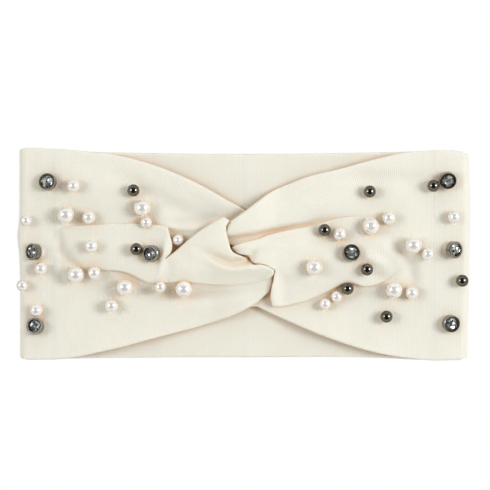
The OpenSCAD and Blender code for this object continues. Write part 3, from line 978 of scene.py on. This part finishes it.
def stone():
    """Clear glass over foil, cut in small facets that each mirror something else: each facet leans its own
    way, and its colour is also painted a flat step from dark to light, a painted reflection.
    """
    m, t, shader = new_material("foiled stone")
    place = node(t, "ShaderNodeTexCoord")
    cells = node(t, "ShaderNodeTexVoronoi", Scale=820.0)
    t.links.new(place.outputs["Object"], cells.inputs["Vector"])
    painted_reflection_steps = node(t, "ShaderNodeValToRGB")
    # painted reflection: each facet gets a flat shade from dark to light, as if it mirrored something else
    t.links.new(cells.outputs["Color"], painted_reflection_steps.inputs[0])
    steps = painted_reflection_steps.color_ramp
    steps.interpolation = "CONSTANT"
    for position, shade in FACET_REFLECTION_SHADES:
        step = steps.elements.new(position) if position else steps.elements[0]
        step.color = (shade, shade * 1.03, shade, 1)
    t.links.new(painted_reflection_steps.outputs[0], shader.inputs["Base Color"])
    # each small facet leans its own way
    lean = node(t, "ShaderNodeVectorMath", operation="SUBTRACT")
    t.links.new(cells.outputs["Color"], lean.inputs[0])
    lean.inputs[1].default_value = (0.5, 0.5, 0.5)
    scaled = node(t, "ShaderNodeVectorMath", operation="SCALE")
    t.links.new(lean.outputs[0], scaled.inputs[0])
    scaled.inputs["Scale"].default_value = 0.75
    surface = node(t, "ShaderNodeNewGeometry")
    total = node(t, "ShaderNodeVectorMath", operation="ADD")
    t.links.new(surface.outputs["Normal"], total.inputs[0])
    t.links.new(scaled.outputs[0], total.inputs[1])
    unit = node(t, "ShaderNodeVectorMath", operation="NORMALIZE")
    t.links.new(total.outputs[0], unit.inputs[0])
    t.links.new(unit.outputs[0], shader.inputs["Normal"])
    finish_shader(shader, {
        "Metallic": 0.6, "Roughness": 0.14, "Coat Weight": 0.35, "Coat Roughness": 0.03,
    })
    return m


def plain(name, colour, metallic, roughness, scale):
    """A nearly even colour."""
    dark = tuple(0.85 * c for c in colour)
    return clouded(name, scale, 3.0, dark, colour, {"Metallic": metallic, "Roughness": roughness})


JERSEY = jersey()
PEARL = pearl()
GUNMETAL = gunmetal()
CUP = cup_metal()
STONE = stone()
THREAD = plain("seam thread", (0.82, 0.79, 0.68), 0, 0.9, 3000.0)
STEEL = plain("rivet steel", (0.62, 0.62, 0.63), 1, 0.3, 800.0)


# -------------------- the cloth
def make_cloth(side, word):
    """The four sheets of one side of the loop."""
    strip = layer_mesh(
        f"{word}_strip", side, base_outline(side), partial(base_faces, side), "base", JERSEY,
        cut=side * CUT_X,
    )
    over = layer_mesh(
        f"{word}_strip_overlap", side, UPPER_OUTLINES[side], partial(upper_faces, side), "upper", JERSEY,
        spacing=0.95,
    )
    turn = fold_mesh(f"{word}_side_turn", side, JERSEY)
    behind = back_mesh(f"back_band_{word}_half", side, JERSEY)

    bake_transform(turn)
    for piece in (strip, over):
        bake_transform(piece)
    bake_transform(behind)

    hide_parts(f"{word}_rear_arm", f"{word}_knot_underlay")
    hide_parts(f"{word}_front_arm", f"{word}_knot_wrap")
    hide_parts(f"{word}_side_fold")
    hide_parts(f"back_band_{word}", "back_band_centre")


for side, word in SIDES.items():
    make_cloth(side, word)


def make_seam(name, body, node_name, x, z, low, top):
    row = stitch_mesh(name, x, z, low, top)
    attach(row, body)
    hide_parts(node_name)


make_seam("middle_stitches", "back_centre", "centre_back_seam", 0, MIDDLE_STITCH_Z, MIDDLE_LOW, MIDDLE_TOP)
for side, word in SIDES.items():
    make_seam(
        f"{word}_side_stitches", f"{word}_back", f"{word}_side_seam",
        side * CUT_X, SIDE_STITCH_Z, CUT_LOW[side], CUT_TOP[side],
    )

# -------------------- the trimmings, which are the CAD pieces
RIM_WIDTH = 0.0002  # the rounded edges of the cups
RIM_ANGLE = math.radians(28)
# Which words in a node's name say what it is made of
TRIMMINGS = {
    "pearls": PEARL,
    "gunmetal": GUNMETAL,
    "cups": CUP,
    "rhinestones": STONE,
    "pins": STEEL,
    "caps": STEEL,
}

for name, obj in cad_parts.items():
    material = next((m for word, m in TRIMMINGS.items() if word in name), None)
    if material is None:
        continue
    obj.data.materials.clear()
    obj.data.materials.append(material)
    if "cups" in name:
        rim = obj.modifiers.new("turned rim", "BEVEL")
        rim.width = RIM_WIDTH
        rim.segments = 3
        rim.limit_method = "ANGLE"
        rim.angle_limit = RIM_ANGLE

# -------------------- stage, light and camera
FLOOR_HALF = 3.0
FLOOR_Z = -0.0005
CORNERS = ((-1, -1), (1, -1), (1, 1), (-1, 1))
SOFTBOX_SIZE = 0.55
SOFTBOX_COLOUR = (0.94, 0.97, 1.0)
WALL_COLOUR = (1.0, 0.95, 0.88, 1)
CAMERA_PLACE = (0.0005, 0.0045, 1.208)
SENSOR = 36  # width of the film, in millimetres
FOCUS_DISTANCE = 1.2
PICTURE_WIDTH = 0.245  # what the picture spans at that distance


def make_floor():
    """A white floor, lit from within: full white to the camera, and dimmer to the object."""
    mesh = bpy.data.meshes.new("floor")
    mesh.from_pydata([(FLOOR_HALF * x, FLOOR_HALF * y, FLOOR_Z) for x, y in CORNERS], [], [(0, 1, 2, 3)])
    floor = bpy.data.objects.new("floor", mesh)
    bpy.context.collection.objects.link(floor)
    white = bpy.data.materials.new("lit white floor")
    white.use_nodes = True
    tree = white.node_tree
    tree.nodes.clear()
    out = tree.nodes.new("ShaderNodeOutputMaterial")
    glow = tree.nodes.new("ShaderNodeEmission")
    glow.inputs["Color"].default_value = (1, 1, 1, 1)
    ray = tree.nodes.new("ShaderNodeLightPath")
    level = tree.nodes.new("ShaderNodeMapRange")
    tree.links.new(ray.outputs["Is Camera Ray"], level.inputs["Value"])
    level.inputs["To Min"].default_value = 0.4
    level.inputs["To Max"].default_value = 1.0
    tree.links.new(level.outputs[0], glow.inputs["Strength"])
    tree.links.new(glow.outputs[0], out.inputs[0])
    mesh.materials.append(white)


def softbox(name, place, watts):
    """A square soft light, turned towards the band."""
    data = bpy.data.lights.new(name, "AREA")
    data.shape = "RECTANGLE"
    data.size, data.size_y = SOFTBOX_SIZE, SOFTBOX_SIZE
    data.energy = watts
    data.color = SOFTBOX_COLOUR
    obj = bpy.data.objects.new(name, data)
    obj.location = place
    obj.rotation_euler = (-Vector(place)).to_track_quat("-Z", "Y").to_euler()
    bpy.context.collection.objects.link(obj)


def make_world():
    """Bright, warm walls under a dark ceiling. What shines sees them darker."""
    world = bpy.data.worlds.new("studio")
    bpy.context.scene.world = world
    world.use_nodes = True
    tree = world.node_tree
    direction = tree.nodes.new("ShaderNodeTexCoord")
    parts = tree.nodes.new("ShaderNodeSeparateXYZ")
    tree.links.new(direction.outputs["Generated"], parts.inputs[0])

    def wall(low, high, strength, ceiling):
        # from the walls' strength up to the height low, to the ceiling's from the height high
        height = tree.nodes.new("ShaderNodeMapRange")
        height.interpolation_type = "SMOOTHSTEP"
        tree.links.new(parts.outputs[2], height.inputs["Value"])
        height.inputs["From Min"].default_value = low
        height.inputs["From Max"].default_value = high
        height.inputs["To Min"].default_value = strength
        height.inputs["To Max"].default_value = ceiling
        return height.outputs[0]

    ray = tree.nodes.new("ShaderNodeLightPath")
    light = tree.nodes.new("ShaderNodeMix")
    tree.links.new(ray.outputs["Is Glossy Ray"], light.inputs["Factor"])
    tree.links.new(wall(0.25, 0.95, 1.35, 0.15), light.inputs[2])
    tree.links.new(wall(0.3, 0.78, 1.05, 0.05), light.inputs[3])
    background = tree.nodes["Background"]
    background.inputs[0].default_value = WALL_COLOUR
    tree.links.new(light.outputs[0], background.inputs[1])


def make_camera():
    """Looks straight down on the band, as in the photo."""
    data = bpy.data.cameras.new("camera")
    camera = bpy.data.objects.new("camera", data)
    bpy.context.collection.objects.link(camera)
    camera.location = CAMERA_PLACE
    camera.rotation_euler = (0, 0, 0)
    data.sensor_width = SENSOR
    data.lens = SENSOR * FOCUS_DISTANCE / PICTURE_WIDTH
    data.clip_end = 10
    bpy.context.scene.camera = camera


make_floor()
softbox("key softbox", (1.0, 0.16, 0.98), 13.2)
softbox("fill softbox", (-1.0, 0.16, 0.98), 6.6)
make_world()
make_camera()
bpy.context.scene.view_settings.view_transform = "Standard"
bpy.context.scene.view_settings.look = "None"
